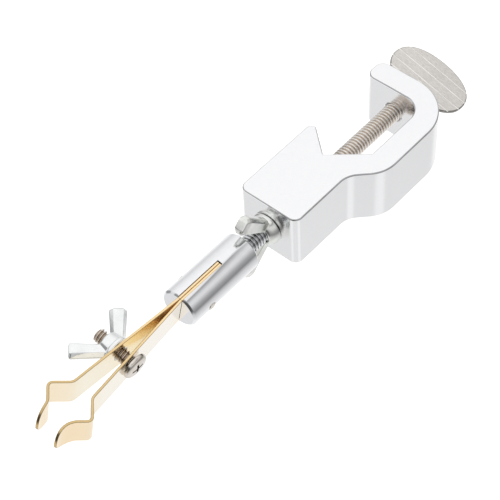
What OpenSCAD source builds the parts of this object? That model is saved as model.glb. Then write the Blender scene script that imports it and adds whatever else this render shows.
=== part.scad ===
// Test tube clamp: two brass spring jaws on a slotted stem, carried by a V-jawed boss head.
// +X runs from the support rod out to the jaws, and +Z runs along the support rod.
// The origin is on the axis of the nominal support rod, at the middle of the block's thickness.

/* [Support rod and block] */
// Diameter of the support rod whose axis is the origin
support_rod_d = 12.7; // [8:0.1:16]
// Half of the V jaw's included angle
v_half_angle = 50; // [40:1:60]
// Width of the block's solid end
block_w = 23.8; // [18:0.1:30]
// Thickness of the block, along the support rod
block_t = 21.6; // [14:0.1:28]
// Length of the block's solid end, from the V's root to its end face
solid_l = 27.8; // [20:0.1:36]
// Opening from the V's root to the arm
throat_l = 37.1; // [28:0.1:46]
// Reach of the spine's inner face from the axis
throat_y = 12.1; // [10:0.1:16]
// Thickness of the spine and of the arm
wall = 8.6; // [6:0.1:12]
// Radius of the bend outside the arm and spine
bend_out_r = 17; // [10:0.5:20]
// Radius of the bend inside the arm and spine
bend_in_r = 7; // [3:0.5:9]

/* [Thumb screw] */
// Outside diameter of the thumb screw and of the stud
thread_d = 6.35; // [5:0.05:8]
// How far the tip stands from the V's root at rest
tip_gap = 4.3; // [3:0.1:8]
// Length of the thumb plate along the screw
plate_l = 18.8; // [14:0.1:24]
// Width of the thumb plate across the screw
plate_w = 30.2; // [20:0.1:36]
// Thickness of the thumb plate
plate_t = 1.3; // [1:0.1:2.5]
// Angle the thumb plate is turned to at rest
plate_turn = 17; // [-90:1:90]

/* [Stem and lock nut] */
// Diameter of the stem
stem_d = 13.5; // [13:0.1:16]
// Length of the stem
stem_l = 30.4; // [24:0.1:40]
// Gap between the block and the stem, where the lock nut turns
stem_gap = 12; // [11.5:0.1:18]
// Depth of the slot in the stem's outer end
slot_l = 18.3; // [12:0.1:24]
// Diameter of the rivet through the slot
rivet_d = 2.9; // [2:0.1:4]
// Angle the stem is turned to at rest
stem_turn = 12; // [-90:1:90]
// Angle the lock nut's wings are turned to at rest
lock_turn = -1; // [-90:1:90]

/* [Jaws] */
// Width of the brass strips
strip_w = 12.7; // [8:0.1:12.8]
// Thickness of the brass strips
strip_t = 0.85; // [0.6:0.05:1.2]
// Angle at which the left strip leaves the stem
left_splay = 4; // [3:0.1:6]
// Angle at which the right strip leaves the stem
right_splay = 5; // [3:0.1:6]
// Length of the straight part of each strip
arm_l = 41.5; // [30:0.1:50]
// Angle of the two faces that hold the tube
seat_angle = 45; // [30:1:55]
// Length of each face that holds the tube
seat_l = 4.8; // [4:0.1:9]

/* [Clamp screw] */
// Outside diameter of the clamp screw
clamp_d = 4.8; // [4:0.1:6]
// Distance of the clamp screw from the stem's end
clamp_x = 23.9; // [18:0.1:30]
// Height of the clamp screw above the strips' centre line
clamp_z = 0.7; // [-2:0.1:2]
// Length of the clamp screw under its head
clamp_l = 14.9; // [12:0.1:20]
// Diameter of the clamp screw's head
head_d = 8.9; // [7:0.1:10]
// Angle the clamp nut's wings are turned to at rest
clamp_turn = 6; // [-90:1:90]

/* [Hidden] */
$fn = 64;
run_gap = 0.05;                        // radial clearance of a turning or sliding fit
seat_gap = 0.02;                       // radial clearance of a part that stays where it is
eps = 0.01;
apex_x = support_rod_d / 2 / sin(v_half_angle);
face_x = apex_x + solid_l;
arm_in_x = apex_x - throat_l;
arm_out_x = arm_in_x - wall;
half_w = block_w / 2;
spine_out_y = throat_y + wall;
corner_r = 3;                          // upright corners of the block
step_in_r = 8;                         // hollow half of the step down to the solid end
step_out_r = 12;                       // round half of that step
step_x = apex_x + 5.7;                 // where the step meets the solid end
peak_y = 9.8;                          // where the V's free face ends in a blunt nose
peak_l = 1.6;                          // length of that nose
thread_r = thread_d / 2;
tip_x = apex_x - tip_gap;
hub_l = 6.6;                           // slotted end of the thumb screw
hub_x = arm_out_x - 0.3;
plate_x = arm_out_x - 1.8 - plate_l / 2;
stem_r = stem_d / 2;
stem_x = face_x + stem_gap;
mouth_x = stem_x + stem_l;
slot_w = 2 * strip_t + 0.1;
rivet_x = mouth_x - 8.2;
stud_in = 12;                          // stud's length inside the block
stud_out = 9;                          // stud's length inside the stem
nut_x = face_x + 0.1;
strip_y = strip_t / 2 + 0.03;          // middle of each strip inside the slot
hinge_x = mouth_x + 0.1;
screw_x = mouth_x + clamp_x;
left_y = strip_y + (screw_x - hinge_x) * tan(left_splay) + strip_t + 0.15;    // under the nut
right_y = strip_y + (screw_x - hinge_x) * tan(right_splay) + strip_t + 0.15;  // under the head
clamp_r = clamp_d / 2;

// ---------- shapes that repeat ----------

// Points of an arc from angle a to angle b.
function arc(x, y, r, a, b, n = 10) =
    [for (i = [0:n]) let (t = a + (b - a) * i / n) [x + r * cos(t), y + r * sin(t)]];

// A path of [length, turn] moves as points with a heading. A move with a turn is an arc.
function moves(segments, n = 8) =
    [for (s = segments) each s[1] == 0 ? [s] : [for (i = [1:n]) s / n]];

function track(start, heading, m) =
    [for (i = 0, p = start, a = heading; i <= len(m);
          p = i < len(m) ? p + m[i][0] * [cos(a + m[i][1] / 2), sin(a + m[i][1] / 2)] : p,
          a = i < len(m) ? a + m[i][1] : a,
          i = i + 1) [p.x, p.y, a]];

// Outline of a strip of thickness t whose middle follows the track.
function ribbon(points, t) = concat(
    [for (p = points) [p[0] - t / 2 * sin(p[2]), p[1] + t / 2 * cos(p[2])]],
    [for (i = [len(points) - 1:-1:0]) let (p = points[i])
        [p[0] + t / 2 * sin(p[2]), p[1] - t / 2 * cos(p[2])]]);

// A round bar along X from x0 to x1 with both rims chamfered.
module bar(x0, x1, r, chamfer) {
    l = x1 - x0;
    translate([x0, 0, 0])
        rotate([0, 90, 0])
            rotate_extrude()
                polygon([[0, 0], [r - chamfer, 0], [r, chamfer], [r, l - chamfer], [r - chamfer, l], [0, l]]);
}

// A hole along X.
module bore_x(x0, x1, r) {
    translate([x0, 0, 0])
        rotate([0, 90, 0])
            cylinder(h = x1 - x0, r = r);
}

// A hole along Y through everything at x.
module bore_y(x, r) {
    translate([x, 0, 0])
        rotate([90, 0, 0])
            cylinder(h = 60, r = r, center = true);
}

// Puts the stem and what it carries at its rest angle.
module at_stem() {
    rotate([-stem_turn, 0, 0])
        children();
}

// Hub of a wing nut: base on z = 0, a short flange and a cone.
module nut_hub(base_r, top_r, h) {
    rotate_extrude()
        polygon([[0, 0], [base_r - 0.3, 0], [base_r, 0.3], [base_r, 1], [top_r, h - 0.4], [top_r - 0.4, h], [0, h]]);
}

// One wing of a nut, in the XZ plane: a bar from the hub that leans out to a rounded end.
module nut_wing(root, tip, w, t, end_r) {
    lean = atan2(tip.y - root.y, tip.x - root.x);
    l = norm(tip - root);
    translate([root.x, 0, root.y])
        rotate([90, -lean, 0])
            linear_extrude(t, center = true)
                polygon(concat(
                    [[0, w / 2], [0, -w / 2]],
                    arc(l - end_r, -w / 2 + end_r, end_r, -90, 0),
                    arc(l - end_r, w / 2 - end_r, end_r, 0, 90)));
}

module nut_wings(root, tip, w, t, end_r) {
    for (side = [0, 180])
        rotate([0, 0, side])
            nut_wing(root, tip, w, t, end_r);
}

// ---------- block ----------

module block_outline() {
    drop_in = step_in_r * (1 - cos(45));
    drop_out = step_out_r * (1 - cos(45));
    straight = spine_out_y - half_w - drop_in - drop_out;
    crest_x = step_x - (step_in_r + step_out_r) * sin(45) - straight;
    tip_r = 3.3;
    polygon(concat(
        arc(face_x - corner_r, corner_r - half_w, corner_r, -90, 0),
        arc(face_x - corner_r, half_w - corner_r, corner_r, 0, 90),
        arc(step_x, half_w + step_in_r, step_in_r, -90, -135),
        arc(crest_x, spine_out_y - step_out_r, step_out_r, 45, 90),
        arc(arm_out_x + bend_out_r, spine_out_y - bend_out_r, bend_out_r, 90, 180, 20),
        arc(arm_out_x + tip_r, tip_r - half_w, tip_r, 180, 270),
        arc(arm_in_x - tip_r, tip_r - half_w, tip_r, 270, 360),
        arc(arm_in_x + bend_in_r, throat_y - bend_in_r, bend_in_r, 180, 90),
        [[apex_x - throat_y / tan(v_half_angle), throat_y],
         [apex_x, 0],
         [apex_x - peak_y / tan(v_half_angle), -peak_y],
         [apex_x - peak_y / tan(v_half_angle) + peak_l, -half_w]]));
}

module block() {
    rim = 0.7;
    color([0.90, 0.90, 0.91])
        difference() {
            linear_extrude(block_t, center = true)
                block_outline();
            bore_x(arm_out_x - 1, arm_in_x + 1, thread_r + run_gap);
            translate([arm_in_x - rim, 0, 0])
                rotate([0, 90, 0])
                    cylinder(h = 2 * rim, r1 = thread_r, r2 = thread_r + 2 * rim);
            bore_x(face_x - stud_in - 1, face_x + 1, thread_r + run_gap);
        }
}

// ---------- thumb screw ----------

module thumb_shank() {
    color([0.72, 0.68, 0.62])
        bar(hub_x + 0.1, tip_x, thread_r, 0.9);
}

// The screw's outer end, slotted for the plate.
module thumb_hub() {
    color([0.72, 0.68, 0.62])
        rotate([-plate_turn, 0, 0])
            difference() {
                bar(hub_x - hub_l, hub_x, thread_r, 0.5);
                translate([plate_x, 0, 0])
                    cube([plate_l, 4 * thread_d, plate_t + 2 * seat_gap], center = true);
            }
}

// Superellipse, a little fuller than an ellipse.
function plate_edge(n = 72) =
    [for (i = [0:n - 1]) let (a = 360 * i / n, c = cos(a), s = sin(a))
        [plate_l / 2 * sign(c) * pow(abs(c), 0.9), plate_w / 2 * sign(s) * pow(abs(s), 0.9)]];

module thumb_plate() {
    groove = 0.2;
    color([0.76, 0.72, 0.68])
        rotate([-plate_turn, 0, 0])
            translate([plate_x, 0, 0])
                difference() {
                    linear_extrude(plate_t, center = true)
                        polygon(plate_edge());
                    for (x = [-5.4, -1.8, 1.8, 5.4], face = [-1, 1])
                        translate([x, 0, face * plate_t / 2])
                            cube([0.5, plate_w + 2, 2 * groove], center = true);
                }
}

// ---------- stem, stud and lock nut ----------

module stud() {
    color([0.78, 0.79, 0.80])
        bar(face_x - stud_in, stem_x + stud_out, thread_r, 0.5);
}

module lock_nut() {
    color([0.66, 0.67, 0.63])
        translate([nut_x, 0, 0])
            rotate([lock_turn, 0, 0])
                rotate([0, 90, 0])
                    difference() {
                        union() {
                            nut_hub(5.7, 4.3, 3.9);
                            nut_wings([2.6, 3.4], [12.6, 12.6], 6.8, 4.4, 2);
                        }
                        translate([0, 0, -1])
                            cylinder(h = 12, r = thread_r + run_gap);
                    }
}

module stem() {
    color([0.80, 0.81, 0.82])
        at_stem()
            difference() {
                bar(stem_x, mouth_x, stem_r, 0.6);
                bore_x(stem_x - 1, stem_x + stud_out + 1, thread_r + seat_gap);
                translate([mouth_x - slot_l, -slot_w / 2, -stem_d])
                    cube([slot_l + 1, slot_w, 2 * stem_d]);
                bore_y(rivet_x, rivet_d / 2 + seat_gap);
            }
}

module rivet() {
    color([0.70, 0.68, 0.60])
        at_stem()
            translate([rivet_x, 0, 0])
                rotate([90, 0, 0])
                    cylinder(h = stem_d + 0.5, r = rivet_d / 2, center = true);
}

// ---------- brass strips ----------

// The length of strip that stays in the slot.
module tail(side) {
    color([0.86, 0.68, 0.36])
        at_stem()
            difference() {
                translate([mouth_x - slot_l + 0.3, side * strip_y - strip_t / 2, -strip_w / 2])
                    cube([slot_l - 0.3, strip_t, strip_w]);
                bore_y(rivet_x, rivet_d / 2 + seat_gap);
            }
}

// The length that springs, from the stem's mouth to its rounded tip.
module blade(side, splay, tip_moves) {
    bend = 3;
    run = concat([[arm_l, 0], [bend * (seat_angle - splay) * PI / 180, seat_angle - splay],
                  [seat_l, 0], [1.5 * seat_angle * PI / 90, -2 * seat_angle]], tip_moves);
    path = track([hinge_x, strip_y], splay, moves(run));
    end = path[len(path) - 1];
    end_r = strip_w / 2 - eps;
    color([0.93, 0.78, 0.47])
        at_stem()
            mirror([0, side < 0 ? 1 : 0, 0])
                difference() {
                    intersection() {
                        linear_extrude(strip_w, center = true)
                            polygon(ribbon(path, strip_t));
                        rotate([90, 0, 0])
                            linear_extrude(60, center = true)
                                polygon(concat(
                                    [[hinge_x - 1, strip_w / 2], [hinge_x - 1, -strip_w / 2]],
                                    arc(end[0] - end_r, end_r - strip_w / 2, end_r, -90, 0),
                                    arc(end[0] - end_r, strip_w / 2 - end_r, end_r, 0, 90)));
                    }
                    translate([0, 0, clamp_z])
                        bore_y(screw_x, clamp_r + 0.4);
                }
}

// The left tip carries on inwards, and the right one curls out.
left_tip = [[3.6, 0], [1.9, 32], [2.4, 0], [3, -12]];
right_tip = [[2.4, 0], [8.9, 72]];

// ---------- clamp screw and its wing nut ----------

module clamp_screw() {
    head_h = 1.7;
    color([0.66, 0.62, 0.57])
        at_stem()
            translate([screw_x, right_y, clamp_z])
                rotate([-90, 0, 0])
                    difference() {
                        rotate_extrude()
                            polygon(concat(
                                [[0, -clamp_l], [clamp_r - 0.5, -clamp_l], [clamp_r, 0.5 - clamp_l], [clamp_r, 0],
                                 [head_d / 2, 0]],
                                arc(head_d / 2 - 1.1, head_h - 1.1, 1.1, 0, 80, 6),
                                [[0, head_h + 0.25]]));
                        for (turn = [0, 90])
                            rotate([0, 0, turn])
                                translate([0, 0, head_h])
                                    cube([4.6, 0.9, 2.2], center = true);
                    }
}

// Puts a nut's base on the outer face of the left strip, axis outwards.
module at_clamp_nut() {
    at_stem()
        translate([screw_x, -left_y, clamp_z])
            rotate([90, 0, 0])
                children();
}

nut_base_r = 4.7;
nut_top_r = 3.6;
nut_h = 5;
ring_z = [1.5, 4.2];

function cone_r(z) = nut_base_r + (nut_top_r - nut_base_r) * (z - 1) / (nut_h - 1.4);

module clamp_nut_hub() {
    color([0.84, 0.86, 0.86])
        at_clamp_nut()
            difference() {
                nut_hub(nut_base_r, nut_top_r, nut_h);
                translate([0, 0, -1])
                    cylinder(h = nut_h + 2, r = clamp_r + run_gap);
            }
}

// Wings joined by a ring round the hub's cone.
module clamp_nut_wings() {
    color([0.84, 0.86, 0.86])
        at_clamp_nut()
            difference() {
                union() {
                    translate([0, 0, ring_z[0]])
                        cylinder(h = ring_z[1] - ring_z[0], r1 = cone_r(ring_z[0]) + 0.9, r2 = cone_r(ring_z[1]) + 0.9);
                    rotate([0, 0, clamp_turn])
                        nut_wings([3.2, 2.7], [11, 10], 5.6, 3.4, 1);
                }
                translate([0, 0, -1])
                    cylinder(h = nut_h + 8, r1 = cone_r(-1) + run_gap, r2 = cone_r(nut_h + 7) + run_gap);
                translate([0, 0, nut_h - 1])
                    cylinder(h = 12, r = nut_top_r + 0.1);
            }
}

block();
thumb_shank();
thumb_hub();
thumb_plate();
stud();
lock_nut();
stem();
rivet();
tail(-1);  // left_tail
tail(1);  // right_tail
blade(-1, left_splay, left_tip);  // left_blade
blade(1, right_splay, right_tip);  // right_blade
clamp_screw();
clamp_nut_hub();
clamp_nut_wings();
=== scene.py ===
import math

import bmesh
import bpy
from mathutils import Matrix, Vector


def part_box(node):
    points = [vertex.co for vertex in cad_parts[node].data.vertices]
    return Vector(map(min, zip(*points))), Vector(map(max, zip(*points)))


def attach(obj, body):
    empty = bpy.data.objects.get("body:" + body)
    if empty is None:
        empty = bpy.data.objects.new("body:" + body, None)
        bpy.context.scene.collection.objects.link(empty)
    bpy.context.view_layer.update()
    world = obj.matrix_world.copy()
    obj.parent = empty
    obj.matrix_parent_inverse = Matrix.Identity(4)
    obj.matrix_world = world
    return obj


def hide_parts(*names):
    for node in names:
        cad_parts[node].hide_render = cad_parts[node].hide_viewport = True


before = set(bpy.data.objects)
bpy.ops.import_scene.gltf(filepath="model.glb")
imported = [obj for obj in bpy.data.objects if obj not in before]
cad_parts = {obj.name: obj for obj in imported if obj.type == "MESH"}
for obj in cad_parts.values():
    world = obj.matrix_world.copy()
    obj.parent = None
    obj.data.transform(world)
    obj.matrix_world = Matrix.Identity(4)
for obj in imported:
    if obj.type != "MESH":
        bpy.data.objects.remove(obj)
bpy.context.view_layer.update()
scene = bpy.context.scene

# ---------- sizes in mm, in the row frame ----------


def mm_box(node):
    """The two corners of a CAD node's box."""
    lo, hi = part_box(node)
    return lo * 1000, hi * 1000


BLOCK_LO, BLOCK_HI = mm_box("block")
STEM_LO, STEM_HI = mm_box("stem")
FACE_X, ARM_OUT_X, HALF_W, HALF_T = BLOCK_HI.x, BLOCK_LO.x, -BLOCK_LO.y, BLOCK_HI.z
SPINE_OUT_Y = BLOCK_HI.y
WALL = 8.6
ARM_IN_X, THROAT_Y = ARM_OUT_X + WALL, SPINE_OUT_Y - WALL
V_ANGLE = math.radians(50)
APEX_X = FACE_X - 27.8
THREAD_R, PITCH = 6.35 / 2, 1.27  # 1/4"-20: the thumb screw and the stud
PLATE_W, PLATE_T, PLATE_RIM_R = 30.2, 1.3, 0.34
GROOVE_R, GROOVE_Z = 0.28, 0.74
STEM_X, MOUTH_X = STEM_LO.x, STEM_HI.x
STEM_R = 13.5 / 2
STRIP_W, STRIP_T = 12.7, 0.85
STRIP_Y = STRIP_T / 2 + 0.03
SLOT_W = 2 * STRIP_T + 0.24
SLOT_L = 18.3
RIVET_X, RIVET_R = MOUTH_X - 8.2, 1.45
HINGE_X = MOUTH_X + 0.1
SCREW_X, SCREW_Z, SCREW_R, SCREW_PITCH = MOUTH_X + 23.9, 0.7, 2.4, 1.06
SPLAY = {-1: 4, 1: 5}  # degrees, by side
LOOSE, SNUG = 0.05, 0.02  # how much larger than its pin a hole's radius is
FADE_L = 60  # over this length from the stem's mouth the painted light and shade on the brass change
# how far from the middle the outer face of each strip is where the clamp screw goes through
SCREW_Y = {
    side: STRIP_Y + (SCREW_X - HINGE_X) * math.tan(math.radians(splay)) + STRIP_T + 0.15
    for side, splay in SPLAY.items()
}

STEM_TURN = Matrix.Rotation(math.radians(-12), 4, "X")
PLATE_TURN = Matrix.Rotation(math.radians(-17), 4, "X")
Z_TO_X = Matrix.Rotation(math.radians(90), 4, "Y")
Z_TO_MINUS_Y = Matrix.Rotation(math.radians(90), 4, "X")
Z_TO_Y = Matrix.Rotation(math.radians(-90), 4, "X")


# ---------- mesh helpers, all in mm until settle() ----------


def mesh_object(name, points, faces, place=Matrix.Identity(4)):
    """A new object with all its faces turned outwards."""
    mesh = bpy.data.meshes.new(name)
    mesh.from_pydata([place @ Vector(p) for p in points], [], faces)
    obj = bpy.data.objects.new(name, mesh)
    scene.collection.objects.link(obj)
    bm = bmesh.new()
    bm.from_mesh(mesh)
    bmesh.ops.remove_doubles(bm, verts=bm.verts, dist=1e-5)
    bmesh.ops.recalc_face_normals(bm, faces=bm.faces)
    bm.to_mesh(mesh)
    bm.free()
    return obj


def apply_modifiers(obj):
    """Keeps what the modifiers make of obj as its mesh, and drops them."""
    graph = bpy.context.evaluated_depsgraph_get()
    made = bpy.data.meshes.new_from_object(obj.evaluated_get(graph))
    obj.modifiers.clear()
    obj.data = made
    return obj


def combine(obj, tool, operation="DIFFERENCE"):
    """Cuts the tool out of obj, or joins it on, drops the tool and merges the slivers this leaves."""
    m = obj.modifiers.new("cut", "BOOLEAN")
    m.operation, m.object, m.solver = operation, tool, "EXACT"
    apply_modifiers(obj)
    bpy.data.objects.remove(tool)
    bm = bmesh.new()
    bm.from_mesh(obj.data)
    bmesh.ops.remove_doubles(bm, verts=bm.verts, dist=2e-3)
    bmesh.ops.dissolve_degenerate(bm, edges=bm.edges, dist=1e-3)
    bm.to_mesh(obj.data)
    bm.free()
    return obj


def arc(x, y, r, a, b, n):
    """Points of an arc round (x, y) from angle a to angle b, in degrees."""
    steps = [math.radians(a + (b - a) * i / n) for i in range(n + 1)]
    return [(x + r * math.cos(t), y + r * math.sin(t)) for t in steps]


def rounded(points, n=5):
    """Outline from (x, y) points and (x, y, r) corners, with an arc at each corner that has an r."""
    made = []
    for i, p in enumerate(points):
        if len(p) == 2:
            made.append(Vector(p))
            continue
        here, before, after = (Vector(points[j % len(points)][:2]) for j in (i, i - 1, i + 1))
        u, v = (before - here).normalized(), (after - here).normalized()
        half = u.angle(v) / 2
        middle = here + (u + v).normalized() * p[2] / math.sin(half)
        start, sweep = here + u * p[2] / math.tan(half), math.pi - 2 * half
        turn = 1 if u.x * v.y - u.y * v.x < 0 else -1
        for k in range(n + 1):
            made.append(middle + Matrix.Rotation(turn * sweep * k / n, 2) @ (start - middle))
    return made


def with_supports(outline, gap=0.15, least=1.2):
    """Adds a point close to both ends of every long straight edge, so that flat walls shade flat."""
    made = []
    for i, p in enumerate(outline):
        q = outline[(i + 1) % len(outline)]
        made.append(p)
        if (q - p).length > least:
            along = (q - p).normalized() * gap
            made += [p + along, q - along]
    return made


def inset(outline, d):
    """The outline moved inwards by d."""
    made = []
    for i, p in enumerate(outline):
        a, b = (p - outline[i - 1]).normalized(), (outline[(i + 1) % len(outline)] - p).normalized()
        normal = Vector((-a.y - b.y, a.x + b.x)).normalized()
        made.append(p + normal * d / max(0.3, normal.dot(Vector((-a.y, a.x)))))
    return made


def ring_faces(n, rings):
    """Faces between rings of n points each."""
    return [
        (r * n + i, r * n + (i + 1) % n, (r + 1) * n + (i + 1) % n, (r + 1) * n + i)
        for r in range(rings - 1)
        for i in range(n)
    ]


def prism(name, outline, half, rim, rings, place=Matrix.Identity(4)):
    """A plate of that outline, from -half to half in z, with both rims rounded.
    The listed rings of its side, counted from the bottom, have material 1, which carries the painted shade
    on the rims."""
    n = len(outline)
    steps = [math.radians(90 * k / 4) for k in range(5)]
    profile = [(0.0, half - rim - 0.08)]
    profile += [(rim * (1 - math.cos(t)), half - rim + rim * math.sin(t)) for t in steps]
    profile += [(rim + 0.08, half)]
    levels = [(d, -z) for d, z in reversed(profile)] + profile
    points = []
    for d, z in levels:
        points += [(p.x, p.y, z) for p in inset(outline, d)]
    faces = ring_faces(n, len(levels))
    faces += [tuple(reversed(range(n))), tuple(range(len(points) - n, len(points)))]
    obj = mesh_object(name, points, faces, place)
    for p in obj.data.polygons:
        p.material_index = 1 if p.index < n * (len(levels) - 1) and p.index // n in rings else 0
    return obj


def lathe(name, profile, place=Matrix.Identity(4), steps=96):
    """Turns a profile of (radius, z) round z and closes both ends."""
    n, points = len(profile), []
    for k in range(steps):
        a = 2 * math.pi * k / steps
        points += [(r * math.cos(a), r * math.sin(a), z) for r, z in profile]
    faces = []
    for k in range(steps):
        m = (k + 1) % steps
        for i in range(n - 1):
            faces.append((k * n + i, m * n + i, m * n + i + 1, k * n + i + 1))
    faces += [tuple(k * n for k in reversed(range(steps))), tuple(k * n + n - 1 for k in range(steps))]
    return mesh_object(name, points, faces, place)


def soft_profile(points, r, n):
    """A lathe profile with its inner corners rounded."""
    made = rounded([(*p, r) for p in points], n)
    return [tuple(points[0])] + [tuple(p) for p in made[n + 1 : -(n + 1)]] + [tuple(points[-1])]


def thread(name, r, pitch, z0, z1, place=Matrix.Identity(4), per=56, end=0.3):
    """A right-hand screw thread from z0 to z1, chamfered at both ends.
    Its flanks and roots have material 1, which carries their painted shade."""
    # one turn of the thread as (share of the pitch along it, depth in pitches)
    shape = [(0.0, 0.03), (0.04, 0.0), (0.14, 0.0), (0.18, 0.03), (0.27, 0.2)]
    shape += [(0.46, 0.55), (0.54, 0.59), (0.64, 0.59), (0.72, 0.55), (0.91, 0.2)]
    turns, m = math.ceil((z1 - z0) / pitch) + 2, len(shape)
    rows = turns * m
    points = []
    for k in range(per):
        for j in range(rows + 1):
            f, d = shape[j % m]
            z = z0 - pitch + pitch * (j // m + f + k / per)
            # the chamfer: how far out the thread may reach so close to its end
            limit = r - end - 0.6 * pitch + max(min(z - z0, z1 - z), 0) * 1.6
            radius, turn = min(r - d * pitch, limit), 2 * math.pi * k / per
            points.append((radius * math.cos(turn), radius * math.sin(turn), min(max(z, z0), z1)))
    faces, w = [], rows + 1
    for k in range(per):
        shift = 0 if k < per - 1 else m
        for j in range(rows):
            a, b = k * w + j, ((k + 1) % per) * w + j + shift
            if j + shift + 1 <= rows:
                faces.append((a, b, b + 1, a + 1))
    obj = mesh_object(name, points, faces)
    bm = bmesh.new()
    bm.from_mesh(obj.data)
    bmesh.ops.remove_doubles(bm, verts=bm.verts, dist=2e-4)
    bmesh.ops.dissolve_degenerate(bm, edges=bm.edges, dist=1e-4)
    bmesh.ops.holes_fill(bm, edges=[e for e in bm.edges if e.is_boundary], sides=0)
    bmesh.ops.recalc_face_normals(bm, faces=bm.faces)
    # faces below the crests take material 1: painted shade on the flanks and roots
    for f in bm.faces:
        middle = f.calc_center_median()
        in_root_shade = math.hypot(middle.x, middle.y) < r - 0.2 * pitch
        f.material_index = 1 if in_root_shade and abs(f.normal.z) < 0.99 else 0
    bm.to_mesh(obj.data)
    bm.free()
    obj.data.transform(place)
    return obj


def box(name, lo, hi, place=Matrix.Identity(4)):
    """A cuboid between two corners."""
    points = [(x, y, z) for x in (lo[0], hi[0]) for y in (lo[1], hi[1]) for z in (lo[2], hi[2])]
    faces = [(0, 1, 3, 2), (4, 6, 7, 5), (0, 4, 5, 1), (2, 3, 7, 6), (0, 2, 6, 4), (1, 5, 7, 3)]
    return mesh_object(name, points, faces, place)


def rod(name, r, z0, z1, place=Matrix.Identity(4), steps=48):
    """A plain cylinder from z0 to z1."""
    return lathe(name, [(r, z0), (r, z1)], place, steps)


def settle(obj, body, nodes, materials, sharp=32):
    """Scales obj to metres, shades it, gives its faces their materials and puts it on its body."""
    mesh = obj.data
    kinds = [min(p.material_index, len(materials) - 1) for p in mesh.polygons]
    mesh.transform(Matrix.Scale(0.001, 4))
    mesh.shade_smooth()
    mesh.set_sharp_from_angle(angle=math.radians(sharp))
    mesh.materials.clear()
    for m in materials:
        mesh.materials.append(m)
    for p, kind in zip(mesh.polygons, kinds):
        p.material_index = kind
    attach(obj, body)
    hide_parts(*nodes)
    return obj


# ---------- materials ----------


def link(tree, a, b):
    """Leads output a into input b."""
    tree.links.new(a, b)


def metal(name, dark, light, rough, scale, bump, stretch=(1, 1, 1), aniso=0.0, painted_fade=None):
    """A metal whose tint, roughness and surface vary with fine noise, stretched along the grain.
    painted_fade lists (mm from the stem's mouth, colour, how metallic) for painted light and shade that
    change along the strips."""
    mat = bpy.data.materials.new(name)
    mat.use_nodes = True
    tree = mat.node_tree
    shader = tree.nodes["Principled BSDF"]
    shader.inputs["Metallic"].default_value = 1.0
    shader.inputs["Anisotropic"].default_value = aniso
    where = tree.nodes.new("ShaderNodeTexCoord")
    grain = tree.nodes.new("ShaderNodeMapping")
    grain.inputs["Scale"].default_value = stretch
    link(tree, where.outputs["Object"], grain.inputs["Vector"])
    noise = tree.nodes.new("ShaderNodeTexNoise")
    noise.inputs["Scale"].default_value = scale
    noise.inputs["Detail"].default_value = 3
    link(tree, grain.outputs["Vector"], noise.inputs["Vector"])
    tint = tree.nodes.new("ShaderNodeValToRGB")
    tint.color_ramp.elements[0].position, tint.color_ramp.elements[1].position = 0.25, 0.75
    tint.color_ramp.elements[0].color = (*dark, 1)
    tint.color_ramp.elements[1].color = (*light, 1)
    link(tree, noise.outputs["Fac"], tint.inputs["Fac"])
    colour = tint.outputs["Color"]
    if painted_fade:
        apart, place = tree.nodes.new("ShaderNodeSeparateXYZ"), tree.nodes.new("ShaderNodeMapRange")
        link(tree, where.outputs["Object"], apart.inputs["Vector"])
        link(tree, apart.outputs["X"], place.inputs["Value"])
        place.inputs["From Min"].default_value = MOUTH_X / 1000
        place.inputs["From Max"].default_value = (MOUTH_X + FADE_L) / 1000
        ramps = [tree.nodes.new("ShaderNodeValToRGB") for _ in range(2)]
        for i, (mm, shade, metallic) in enumerate(painted_fade):
            for ramp, value in zip(ramps, (shade, (metallic,) * 3)):
                marks = ramp.color_ramp.elements
                mark = marks[i] if i < 2 else marks.new(mm / FADE_L)
                mark.position, mark.color = mm / FADE_L, (*value, 1)
        for ramp in ramps:
            link(tree, place.outputs["Result"], ramp.inputs["Fac"])
        both = tree.nodes.new("ShaderNodeMix")
        both.data_type, both.blend_type = "RGBA", "MULTIPLY"
        both.inputs["Factor"].default_value = 1
        link(tree, colour, both.inputs[6])
        link(tree, ramps[0].outputs["Color"], both.inputs[7])
        colour = both.outputs[2]
        if min(metallic for _, _, metallic in painted_fade) < 1:
            link(tree, ramps[1].outputs["Color"], shader.inputs["Metallic"])
    link(tree, colour, shader.inputs["Base Color"])
    spread = tree.nodes.new("ShaderNodeMapRange")
    spread.inputs["To Min"].default_value, spread.inputs["To Max"].default_value = rough
    link(tree, noise.outputs["Fac"], spread.inputs["Value"])
    link(tree, spread.outputs["Result"], shader.inputs["Roughness"])
    relief = tree.nodes.new("ShaderNodeBump")
    relief.inputs["Strength"].default_value = bump
    relief.inputs["Distance"].default_value = 0.0001
    link(tree, noise.outputs["Fac"], relief.inputs["Height"])
    link(tree, relief.outputs["Normal"], shader.inputs["Normal"])
    return mat


# each metal: name, darkest and lightest tint, roughness range, noise scale, bump
CAST = metal("cast_metal", (0.915, 0.92, 0.935), (0.945, 0.945, 0.955), (0.13, 0.19), 700, 0.006)
# painted shade: a darker copy of the casting metal for the dark reflection line along the block's rounded
# rims
CAST_RIM_SHADE = metal("cast_rim_painted_shade", (0.42, 0.42, 0.43), (0.70, 0.70, 0.71), (0.10, 0.20), 260, 0.006)
CHROME = metal("chrome", (0.875, 0.88, 0.90), (0.91, 0.915, 0.93), (0.05, 0.09), 500, 0.005)
NICKEL_THREAD = metal("nickel_thread", (0.93, 0.89, 0.84), (1.0, 0.97, 0.93), (0.28, 0.38), 1200, 0.02)
# painted shade: a darker copy of the nickel for the thumb screw's thread flanks and roots
NICKEL_ROOT_SHADE = metal("nickel_root_painted_shade", (0.60, 0.52, 0.45), (0.76, 0.69, 0.62), (0.34, 0.46), 1200, 0.02)
BRIGHT_THREAD = metal("bright_thread", (0.84, 0.85, 0.86), (0.93, 0.94, 0.95), (0.05, 0.12), 900, 0.02)
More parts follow.
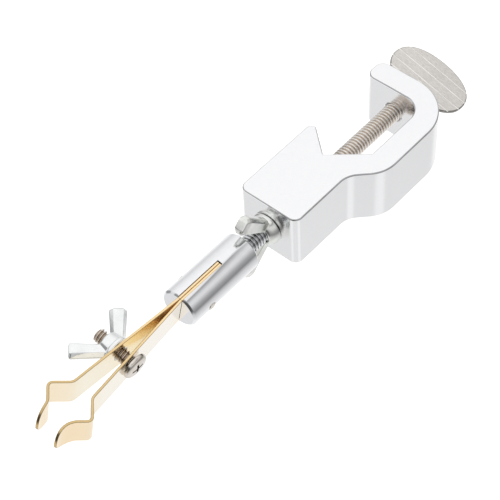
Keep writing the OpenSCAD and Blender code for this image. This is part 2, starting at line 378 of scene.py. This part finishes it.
# painted shade: a darker copy of the bright steel for the stud's thread flanks and roots
BRIGHT_ROOT_SHADE = metal("bright_root_painted_shade", (0.34, 0.35, 0.36), (0.48, 0.49, 0.50), (0.12, 0.22), 900, 0.02)
BRUSHED = metal(
    "brushed_nickel", (0.63, 0.60, 0.565), (0.82, 0.79, 0.76), (0.20, 0.32), 420, 0.08, (7, 0.35, 7), 0.4
)
# smoother nickel for the grooves, with a lighter tint that is a painted highlight line
GROOVE_HIGHLIGHT = metal("groove_nickel_painted_highlight", (0.78, 0.75, 0.72), (0.92, 0.90, 0.88), (0.10, 0.20), 200, 0.02)
# painted shade: dark nickel for the thumb plate's rounded rim
PLATE_RIM_SHADE = metal("plate_rim_painted_shade", (0.26, 0.25, 0.24), (0.42, 0.40, 0.38), (0.16, 0.26), 700, 0.02)
CAST_NUT = metal("cast_nut", (0.70, 0.71, 0.68), (0.90, 0.91, 0.88), (0.10, 0.20), 300, 0.22)
BRIGHT_NUT = metal("bright_nut", (0.84, 0.86, 0.86), (0.95, 0.96, 0.96), (0.06, 0.14), 260, 0.22)
RIVET_STEEL = metal("rivet_steel", (0.66, 0.62, 0.54), (0.84, 0.81, 0.74), (0.14, 0.28), 1000, 0.05)
NICKEL_SCREW = metal("nickel_screw", (0.54, 0.48, 0.42), (0.86, 0.81, 0.75), (0.10, 0.20), 500, 0.10)
# painted shade with a painted brass reflection: dark brown for the clamp screw's thread roots and cross
# recess
SCREW_ROOT_SHADE = metal("screw_root_painted_shade", (0.38, 0.30, 0.23), (0.54, 0.45, 0.37), (0.24, 0.36), 900, 0.03)
GRAIN = ((0.975, 0.975, 0.975), (1.0, 1.0, 1.0))
# painted light on the outer faces: a pale painted highlight near the mouth, then a painted orange
# brass-to-brass reflection past the bend
BRASS = metal("brass", *GRAIN, (0.10, 0.17), 500, 0.02, (0.2, 1, 1), painted_fade=[
    (0, (1.0, 0.90, 0.73), 1), (6, (1.0, 0.95, 0.87), 1), (38, (1.0, 0.94, 0.82), 1),
    (46, (0.99, 0.83, 0.60), 1), (60, (0.98, 0.76, 0.47), 1),
])
# painted shade and reflection on the faces that look at each other: dark and less metallic in the crevice at
# the mouth, a paler painted highlight, then a painted orange brass-to-brass reflection past the bend
BRASS_INNER_SHADE = metal("brass_inner_painted_shade", *GRAIN, (0.12, 0.20), 500, 0.02, (0.2, 1, 1), painted_fade=[
    (0, (1.0, 0.62, 0.20), 0.0), (4, (1.0, 0.68, 0.28), 0.1), (8, (1.0, 0.76, 0.38), 0.7),
    (18, (1.0, 0.83, 0.50), 1), (27, (1.0, 0.90, 0.70), 1), (38, (1.0, 0.93, 0.77), 1),
    (46, (1.0, 0.86, 0.64), 1), (60, (0.98, 0.78, 0.50), 1),
])
# painted light on the sheared edges: a golden painted highlight near the mouth, darkening to painted shade
# towards the tips
BRASS_EDGE_HIGHLIGHT = metal("brass_edge_painted_highlight", *GRAIN, (0.16, 0.28), 900, 0.05, (0.3, 1, 1), painted_fade=[
    (0, (0.98, 0.78, 0.47), 1), (14, (0.95, 0.72, 0.40), 1), (30, (0.80, 0.60, 0.32), 1),
    (60, (0.66, 0.48, 0.23), 1),
])
# painted shade: dark orange outlines on the edge chamfers
BRASS_RIM_SHADE = metal("brass_rim_painted_shade", *GRAIN, (0.2, 0.3), 900, 0.05, (0.3, 1, 1), painted_fade=[
    (0, (0.80, 0.46, 0.15), 1), (20, (0.78, 0.48, 0.18), 1), (40, (0.60, 0.43, 0.20), 1),
    (60, (0.48, 0.34, 0.15), 1),
])
BRASSES = [BRASS, BRASS_EDGE_HIGHLIGHT, BRASS_INNER_SHADE, BRASS_RIM_SHADE]


# ---------- block ----------


def block_outline():
    """The block from above: solid end, step out to the spine, bend, arm, throat and V jaw."""
    corner, step_in, step_out, bend_out, bend_in, tip = 3, 8, 12, 17, 7, 3.3  # radii
    step_x = APEX_X + 5.7
    drop = (step_in + step_out) * (1 - math.cos(math.radians(45)))
    crest_x = step_x - (step_in + step_out) * math.sin(math.radians(45)) - (SPINE_OUT_Y - HALF_W - drop)
    peak_y = 9.8
    peak_x = APEX_X - peak_y / math.tan(V_ANGLE)
    points = arc(FACE_X - corner, corner - HALF_W, corner, -90, 0, 16)
    points += arc(FACE_X - corner, HALF_W - corner, corner, 0, 90, 16)
    points += arc(step_x, HALF_W + step_in, step_in, -90, -135, 16)
    points += arc(crest_x, SPINE_OUT_Y - step_out, step_out, 45, 90, 20)
    points += arc(ARM_OUT_X + bend_out, SPINE_OUT_Y - bend_out, bend_out, 90, 180, 44)
    points += arc(ARM_OUT_X + tip, tip - HALF_W, tip, 180, 270, 16)
    points += arc(ARM_IN_X - tip, tip - HALF_W, tip, 270, 360, 16)
    points += arc(ARM_IN_X + bend_in, THROAT_Y - bend_in, bend_in, 180, 90, 24)
    points += [
        (APEX_X - THROAT_Y / math.tan(V_ANGLE), THROAT_Y, 0.8),
        (APEX_X, 0, 0.5),
        (peak_x, -peak_y, 0.75),
        (peak_x + 1.6, -HALF_W, 0.75),
    ]
    return with_supports(rounded(points))


def make_block():
    # rings 2, 3, 9 and 10 lie on the rounded rims and carry the painted shade line
    block = prism("block_casting", block_outline(), HALF_T, 0.6, (2, 3, 9, 10))
    combine(block, rod("hole", THREAD_R + LOOSE, ARM_OUT_X - 1, ARM_IN_X + 1, Z_TO_X, 64))
    sink = [(THREAD_R - 0.1, ARM_IN_X - 0.8), (THREAD_R + 1.4, ARM_IN_X + 0.7)]
    combine(block, lathe("sink", sink, Z_TO_X, 64))
    combine(block, rod("stud_hole", THREAD_R + LOOSE, FACE_X - 13, FACE_X + 1, Z_TO_X, 64))
    settle(block, "block", ["block"], [CAST, CAST_RIM_SHADE])


# ---------- thumb screw ----------


def make_thumb_screw():
    lo, hi = mm_box("thumb_shank")
    shank = thread("thumb_screw_thread", THREAD_R, PITCH, lo.x, hi.x, Z_TO_X)
    settle(shank, "thumb_shank", ["thumb_shank"], [NICKEL_THREAD, NICKEL_ROOT_SHADE])

    lo, hi = mm_box("thumb_hub")
    hub = thread("thumb_screw_end", THREAD_R, PITCH, lo.x, hi.x, PLATE_TURN @ Z_TO_X)
    half = PLATE_T / 2 + SNUG
    combine(hub, box("slot", (lo.x - 2, -9, -half), (hi.x - 1.2, 9, half), PLATE_TURN))
    settle(hub, "thumb_head", ["thumb_hub"], [NICKEL_THREAD, NICKEL_ROOT_SHADE])

    lo, hi = mm_box("thumb_plate")
    half_l, half_w, steps = (hi.x - lo.x) / 2, PLATE_W / 2, 120
    outline, full = [], 0.9  # an ellipse, a little fuller at its corners
    for k in range(steps):
        c, s = math.cos(2 * math.pi * k / steps), math.sin(2 * math.pi * k / steps)
        x, y = half_l * abs(c) ** full, half_w * abs(s) ** full
        outline.append(Vector((math.copysign(x, c), math.copysign(y, s))))
    middle = Matrix.Translation(((lo.x + hi.x) / 2, 0, 0))
    # rings 1 to 11 cover the rounded rim and take the painted shade
    plate = prism("thumb_plate_disc", outline, PLATE_T / 2, PLATE_RIM_R, range(1, 12), PLATE_TURN @ middle)
    # the groove walls take material 2: the painted highlight lines
    for x in (-5.4, -1.8, 1.8, 5.4):
        for face in (-1, 1):
            place = PLATE_TURN @ middle @ Matrix.Translation((x, 0, face * GROOVE_Z)) @ Z_TO_Y
            groove = rod("groove", GROOVE_R, -20, 20, place, 20)
            for p in groove.data.polygons:
                p.material_index = 2
            combine(plate, groove)
    settle(plate, "thumb_head", ["thumb_plate"], [BRUSHED, PLATE_RIM_SHADE, GROOVE_HIGHLIGHT])


# ---------- wing nuts ----------


def wing(name, root, tip, widths, t, end_r, front, dome, lean, place):
    """One wing: a chamfered bar that leans out, widens or narrows and has a round end.
    lean 1 keeps its back edge straight and lets only the front edge taper, lean -1 the other way."""
    along = Vector((tip[0] - root[0], 0, tip[1] - root[1]))
    length = along.length
    along.normalize()
    across, out = Vector((-along.z, 0, along.x)), Vector((0, 1, 0))
    stations = [-0.5, 0, 0.25 * length, 0.5 * length, 0.75 * length]
    stations += [length - end_r * math.cos(math.radians(a)) for a in range(0, 90, 9)] + [length]
    flat, edge = front
    points = []
    for p in stations:
        beyond = max(0.0, p - (length - end_r)) / end_r
        w = widths[0] + (widths[1] - widths[0]) * min(1, max(0, p / length))
        half_q = w / 2 - end_r + end_r * math.sqrt(max(0.0004, 1 - beyond * beyond))
        half_e = t / 2 * (1 - dome * beyond**1.2)
        flat_q = min(flat * w / 2 * (1 - 0.25 * beyond**2), half_q * 0.94)
        for q, e in (
            (half_q, edge * half_e), (flat_q, half_e), (-flat_q, half_e), (-half_q, edge * half_e),
            (-half_q, -edge * half_e), (-flat_q, -half_e), (flat_q, -half_e), (half_q, -edge * half_e),
        ):
            q -= lean * (widths[1] - w) / 2
            points.append(Vector((root[0], 0, root[1])) + along * p + across * q + out * e)
    n = 8
    faces = ring_faces(n, len(stations))
    faces += [tuple(range(n)), tuple(reversed(range(len(points) - n, len(points))))]
    return mesh_object(name, points, faces, place)


def wing_nut(name, hub, bore, wings, place, voxel, smooth, keep):
    """Hub and two wings made one casting, with soft fillets where they meet, and a bore through it."""
    nut = lathe(name, hub, place, 96)
    for side in (0, 180):
        turned = place @ Matrix.Rotation(math.radians(side), 4, "Z")
        combine(nut, wing("wing", *wings, turned), "UNION")
    m = nut.modifiers.new("cast", "REMESH")
    m.mode, m.voxel_size, m.adaptivity = "VOXEL", voxel, 0.0
    m = nut.modifiers.new("soft", "SMOOTH")
    m.factor, m.iterations = 0.5, smooth
    m = nut.modifiers.new("light", "DECIMATE")
    m.ratio = keep
    apply_modifiers(nut)
    return combine(nut, rod("bore", bore, -2, 14, place, 64))


def make_lock_nut():
    place = Matrix.Translation((FACE_X + 0.1, 0, 0)) @ Matrix.Rotation(math.radians(-1), 4, "X") @ Z_TO_X
    hub = [(5.4, 0.0), (5.7, 0.25), (5.7, 0.9), (5.5, 1.7), (5.1, 2.6), (4.6, 3.3), (4.2, 3.75), (3.8, 3.9)]
    wings = ((2.6, 3.4), (12.6, 12.6), (4.4, 6.8), 4.4, 1.9, (0.66, 0.4), 0.25, 1)
    nut = wing_nut("lock_nut_casting", hub, THREAD_R + LOOSE, wings, place, 0.13, 10, 0.35)
    settle(nut, "lock_nut", ["lock_nut"], [CAST_NUT], 40)


def make_clamp_nut():
    place = STEM_TURN @ Matrix.Translation((SCREW_X, -SCREW_Y[-1], SCREW_Z)) @ Z_TO_MINUS_Y
    place = place @ Matrix.Rotation(math.radians(6), 4, "Z")
    hub = [(4.4, 0.0), (4.7, 0.3), (4.7, 1.1), (4.5, 1.35), (4.05, 1.5), (3.95, 2.0), (3.6, 4.5), (3.1, 5.0)]
    wings = ((3.2, 1.9), (11, 10), (4.6, 5.8), 3.4, 0.9, (0.58, 0.2), 0.35, -1)
    nut = wing_nut("clamp_nut_casting", hub, SCREW_R + LOOSE, wings, place, 0.11, 5, 0.35)
    settle(nut, "clamp_wings", ["clamp_nut_hub", "clamp_nut_wings"], [BRIGHT_NUT], 40)


# ---------- stem, stud and rivet ----------


def make_stem():
    lo, hi = mm_box("stud")
    stud = thread("stud_thread", THREAD_R, PITCH, lo.x, hi.x, Z_TO_X)
    settle(stud, "stem", ["stud"], [BRIGHT_THREAD, BRIGHT_ROOT_SHADE])

    r, c = STEM_R, 0.7
    corners = [(0.5, STEM_X), (r - c, STEM_X), (r, STEM_X + c)]
    corners += [(r, MOUTH_X - c), (r - c, MOUTH_X), (0.5, MOUTH_X)]
    profile = soft_profile(corners, 0.12, 2)
    stem = lathe("stem_barrel", profile, STEM_TURN @ Z_TO_X, 192)
    combine(stem, rod("bore", THREAD_R + SNUG, STEM_X - 1, STEM_X + 10, STEM_TURN @ Z_TO_X, 64))
    combine(stem, box("slot", (MOUTH_X - SLOT_L, -SLOT_W / 2, -9), (MOUTH_X + 1, SLOT_W / 2, 9), STEM_TURN))
    across = STEM_TURN @ Matrix.Translation((RIVET_X, 0, 0)) @ Z_TO_Y
    combine(stem, rod("rivet_hole", RIVET_R + SNUG, -9, 9, across, 48))
    settle(stem, "stem", ["stem"], [CHROME])

    half = STEM_R + 0.25
    ends = [(RIVET_R - 0.45, half), (RIVET_R - 0.12, half - 0.12), (RIVET_R, half - 0.4)]
    profile = [(q, -z) for q, z in ends] + [(q, z) for q, z in reversed(ends)]
    rivet = lathe("rivet_pin", profile, across, 48)
    settle(rivet, "stem", ["rivet"], [RIVET_STEEL])


# ---------- brass strips ----------


def strip(name, path, widths, place):
    """A sheared strip whose middle follows (x, y, heading), with a width at each point."""
    t, chamfer = STRIP_T / 2, 0.12
    points = []
    for (x, y, a), w in zip(path, widths):
        k = min(chamfer, w * 0.4)
        normal = Vector((-math.sin(a), math.cos(a), 0))
        for e, z in (
            (t, w - k), (t - k, w), (k - t, w), (-t, w - k),
            (-t, k - w), (k - t, -w), (t - k, -w), (t, k - w),
        ):
            points.append(Vector((x, y, z)) + normal * e)
    n = 8
    faces = ring_faces(n, len(path))
    faces += [tuple(reversed(range(n))), tuple(range(len(points) - n, len(points)))]
    # places in BRASSES round the strip: chamfers 3 with painted shade, edges 1 with painted highlight and
    # shade, inner face 2 with painted shade and reflection, outer face 0 with painted highlight and
    # reflection
    kinds = [3, 1, 3, 2, 3, 1, 3, 0] * (len(path) - 1) + [1, 1]
    mesh = bpy.data.meshes.new(name)
    mesh.from_pydata([place @ p for p in points], [], faces)
    obj = bpy.data.objects.new(name, mesh)
    scene.collection.objects.link(obj)
    for m in BRASSES:
        mesh.materials.append(m)
    for p, kind in zip(mesh.polygons, kinds):
        p.material_index = kind
    bm = bmesh.new()
    bm.from_mesh(mesh)
    bmesh.ops.recalc_face_normals(bm, faces=bm.faces)
    bm.to_mesh(mesh)
    bm.free()
    return obj


def jaw_path(splay, tip_moves):
    """The strip's middle line from the stem's mouth, as fine steps of (x, y, heading)."""
    seat, bend = 45, 3
    moves = [(41.5, 0), (bend * math.radians(seat - splay), seat - splay), (4.8, 0)]
    moves += [(1.5 * math.pi / 2, -2 * seat)]
    x, y, a = HINGE_X, STRIP_Y, splay
    path = [(x, y, math.radians(a))]
    for length, turn in moves + tip_moves:  # mm forward, degrees of turn on the way
        n = max(2, math.ceil(length / (0.25 if turn else 0.6)))
        for _ in range(n):
            h = math.radians(a + turn / n / 2)
            x, y, a = x + length / n * math.cos(h), y + length / n * math.sin(h), a + turn / n
            path.append((x, y, math.radians(a)))
    return path


def make_strips():
    for side, word in ((-1, "left"), (1, "right")):
        y = side * STRIP_Y
        ends = [(MOUTH_X - SLOT_L + 0.3, y, 0), (MOUTH_X - 9, y, 0), (MOUTH_X, y, 0)]
        tail = strip(f"tail_{word}", ends, [STRIP_W / 2] * 3, STEM_TURN)
        across = STEM_TURN @ Matrix.Translation((RIVET_X, 0, 0)) @ Z_TO_Y
        combine(tail, rod("rivet_hole", RIVET_R + SNUG, -9, 9, across, 48))
        settle(tail, "stem", [f"{word}_tail"], BRASSES, 25)

    left_tip = [(3.6, 0), (1.9, 32), (2.4, 0), (3, -12)]
    right_tip = [(2.4, 0), (8.9, 72)]
    for side, word, tip in ((-1, "left", left_tip), (1, "right", right_tip)):
        path = jaw_path(SPLAY[side], tip)
        end_x, end_r = path[-1][0], STRIP_W / 2 - 0.01
        fine = []
        for p, q in zip(path, path[1:]):  # closer rings where the round end narrows
            n = 4 if q[0] > end_x - 2 else 1
            fine += [tuple(p[i] + (q[i] - p[i]) * k / n for i in range(3)) for k in range(n)]
        path = fine + [path[-1]]
        widths = []
        for x, _, _ in path:
            beyond = max(0.0, min(1.0, (x - end_x + end_r) / end_r))
            half_w = 0.03 + end_r * math.sqrt(1 - beyond * beyond)  # the tip keeps a little width
            widths.append(min(half_w, STRIP_W / 2))
        mirror = Matrix.Scale(-1, 4, (0, 1, 0)) if side < 0 else Matrix.Identity(4)
        jaw = strip(f"jaw_{word}", path, widths, STEM_TURN @ mirror)
        hole = STEM_TURN @ Matrix.Translation((SCREW_X, 0, SCREW_Z)) @ Z_TO_Y
        combine(jaw, rod("screw_hole", SCREW_R + 0.4, -12, 12, hole, 48))
        settle(jaw, f"{word}_jaw", [f"{word}_blade"], BRASSES, 25)


# ---------- clamp screw ----------


def make_clamp_screw():
    place = STEM_TURN @ Matrix.Translation((SCREW_X, SCREW_Y[1], SCREW_Z)) @ Z_TO_Y
    head_r, soft, side_h = 4.45, 1.1, 0.6
    head = [(2.0, 0.0), (head_r - 0.15, 0.0), (head_r, 0.15), (head_r, side_h)]
    head += arc(head_r - soft, side_h, soft, 10, 80, 7)
    head += [(2.3, 1.78), (1.4, 1.86), (0.4, 1.9)]
    screw = lathe("clamp_screw_piece", head, place, 72)
    combine(screw, thread("shank", SCREW_R, SCREW_PITCH, -14.9, 0.55, place, 48, 0.15), "UNION")
    for turn in (0, 90):
        turned = place @ Matrix.Rotation(math.radians(turn), 4, "Z")
        recess = box("recess", (-2.2, -0.42, 0.9), (2.2, 0.42, 3.4), turned)
        # the cross recess takes material 1, the painted shade
        for p in recess.data.polygons:
            p.material_index = 1
        combine(screw, recess)
    settle(screw, "clamp_screw", ["clamp_screw"], [NICKEL_SCREW, SCREW_ROOT_SHADE])


make_block()
make_thumb_screw()
make_lock_nut()
make_stem()
make_strips()
make_clamp_screw()
make_clamp_nut()


# ---------- floor, light and camera ----------


def elevation_ramp(tree, angle, stops):
    """Brightness of the tent by elevation: stops of (degrees, value)."""
    node = tree.nodes.new("ShaderNodeValToRGB")
    marks = node.color_ramp.elements
    for i, (deg, value) in enumerate(stops):
        mark = marks[i] if i < 2 else marks.new((deg + 90) / 180)
        mark.position = (deg + 90) / 180
        mark.color = (value, value, value, 1)
    link(tree, angle, node.inputs["Fac"])
    return node.outputs["Color"]


def card(tree, where, colour, azimuth, elevation, inner, outer, value):
    """A round soft card in the tent, at that azimuth from +X and elevation as seen from the object.
    It has its full value within inner degrees of its middle, and none beyond outer."""
    a, e = math.radians(azimuth), math.radians(elevation)
    kinds = ("ShaderNodeVectorMath", "ShaderNodeMapRange", "ShaderNodeMix")
    dot, near, mix = (tree.nodes.new(kind) for kind in kinds)
    dot.operation = "DOT_PRODUCT"
    dot.inputs[1].default_value = (math.cos(a) * math.cos(e), math.sin(a) * math.cos(e), math.sin(e))
    link(tree, where, dot.inputs[0])
    near.interpolation_type = "SMOOTHSTEP"
    near.inputs["From Min"].default_value = math.cos(math.radians(outer))
    near.inputs["From Max"].default_value = math.cos(math.radians(inner))
    link(tree, dot.outputs["Value"], near.inputs["Value"])
    mix.data_type = "RGBA"
    link(tree, near.outputs["Result"], mix.inputs["Factor"])
    link(tree, colour, mix.inputs[6])
    mix.inputs[7].default_value = (value, value, value, 1)
    return mix.outputs[2]


def make_light():
    """A bright tent with a dark band at its horizon on the +Y side, and a few soft cards."""
    world = bpy.data.worlds.new("studio")
    world.use_nodes = True
    scene.world = world
    tree = world.node_tree
    new = tree.nodes.new
    where, parts = new("ShaderNodeTexCoord"), new("ShaderNodeSeparateXYZ")
    link(tree, where.outputs["Generated"], parts.inputs["Vector"])
    asin, turn = new("ShaderNodeMath"), new("ShaderNodeMapRange")
    asin.operation = "ARCSINE"
    link(tree, parts.outputs["Z"], asin.inputs[0])
    turn.inputs["From Min"].default_value, turn.inputs["From Max"].default_value = -math.pi / 2, math.pi / 2
    link(tree, asin.outputs["Value"], turn.inputs["Value"])
    near = elevation_ramp(tree, turn.outputs["Result"], [
        (-90, 0.95), (-62, 0.92), (-51, 0.82), (-42, 0.74), (-32, 0.67), (-22, 0.50), (-11, 0.26),
        (0, 0.33), (10, 0.43), (20, 0.61), (31, 0.78), (41, 0.76), (50, 0.55), (57, 0.35), (62, 0.90),
        (75, 0.98), (90, 0.98),
    ])
    far = elevation_ramp(tree, turn.outputs["Result"], [
        (-90, 0.95), (-20, 0.95), (-10, 0.81), (0, 0.73), (11, 0.80), (22, 0.89), (32, 0.95),
        (51, 1.02), (90, 1.02),
    ])
    # near rules on the +Y side and far on the other, with a soft change between them
    side, mix = new("ShaderNodeMapRange"), new("ShaderNodeMix")
    side.inputs["From Min"].default_value, side.inputs["From Max"].default_value = 0.02, 0.22
    link(tree, parts.outputs["Y"], side.inputs["Value"])
    mix.data_type = "RGBA"
    link(tree, side.outputs["Result"], mix.inputs["Factor"])
    link(tree, far, mix.inputs[6])
    link(tree, near, mix.inputs[7])
    colour = mix.outputs[2]
    for spec in (
        (85, -54, 4, 15, 0.95),  # bright bands on the upright walls
        (205, -54, 6, 16, 1.0),
        (-51, -56, 12, 30, 0.80),  # greyer end faces
        (-78, -9, 12, 24, 0.34),  # dark sides of the clamp nut's wings
        (15, 2, 16, 40, 0.08),  # dark front of the room in the chamfers
        (-31, 17, 7, 18, 0.30),  # dark crescent at the stem's side
    ):
        colour = card(tree, where.outputs["Generated"], colour, *spec)
    link(tree, colour, tree.nodes["Background"].inputs["Color"])


def make_floor():
    """The white sheet far below, which no metal reflects."""
    mesh = bpy.data.meshes.new("floor")
    size, z = 8, -0.6
    corners = [(-size, -size, z), (size, -size, z), (size, size, z), (-size, size, z)]
    mesh.from_pydata(corners, [], [(0, 1, 2, 3)])
    floor = bpy.data.objects.new("floor", mesh)
    scene.collection.objects.link(floor)
    mat = bpy.data.materials.new("pale_floor")
    mat.use_nodes = True
    shader = mat.node_tree.nodes["Principled BSDF"]
    shader.inputs["Base Color"].default_value = (0.9, 0.9, 0.9, 1)
    shader.inputs["Roughness"].default_value = 0.9
    shader.inputs["Specular IOR Level"].default_value = 0.0
    shader.inputs["Emission Color"].default_value = (1, 1, 1, 1)
    shader.inputs["Emission Strength"].default_value = 0.5
    mesh.materials.append(mat)
    floor.visible_glossy = False
    floor.visible_diffuse = False


def make_camera():
    """The photograph's camera, fitted to the directions of the block's and the stem's straight edges."""
    data = bpy.data.cameras.new("camera")
    data.sensor_width, data.lens = 36, 117.33
    data.clip_start, data.clip_end = 0.05, 50
    camera = bpy.data.objects.new("camera", data)
    scene.collection.objects.link(camera)
    camera.location = (0.282498, 0.224704, 0.398506)
    camera.rotation_euler = [math.radians(a) for a in (39.0955, 2.0948, 130.8437)]
    scene.camera = camera


make_light()
make_floor()
make_camera()
scene.view_settings.view_transform = "Standard"
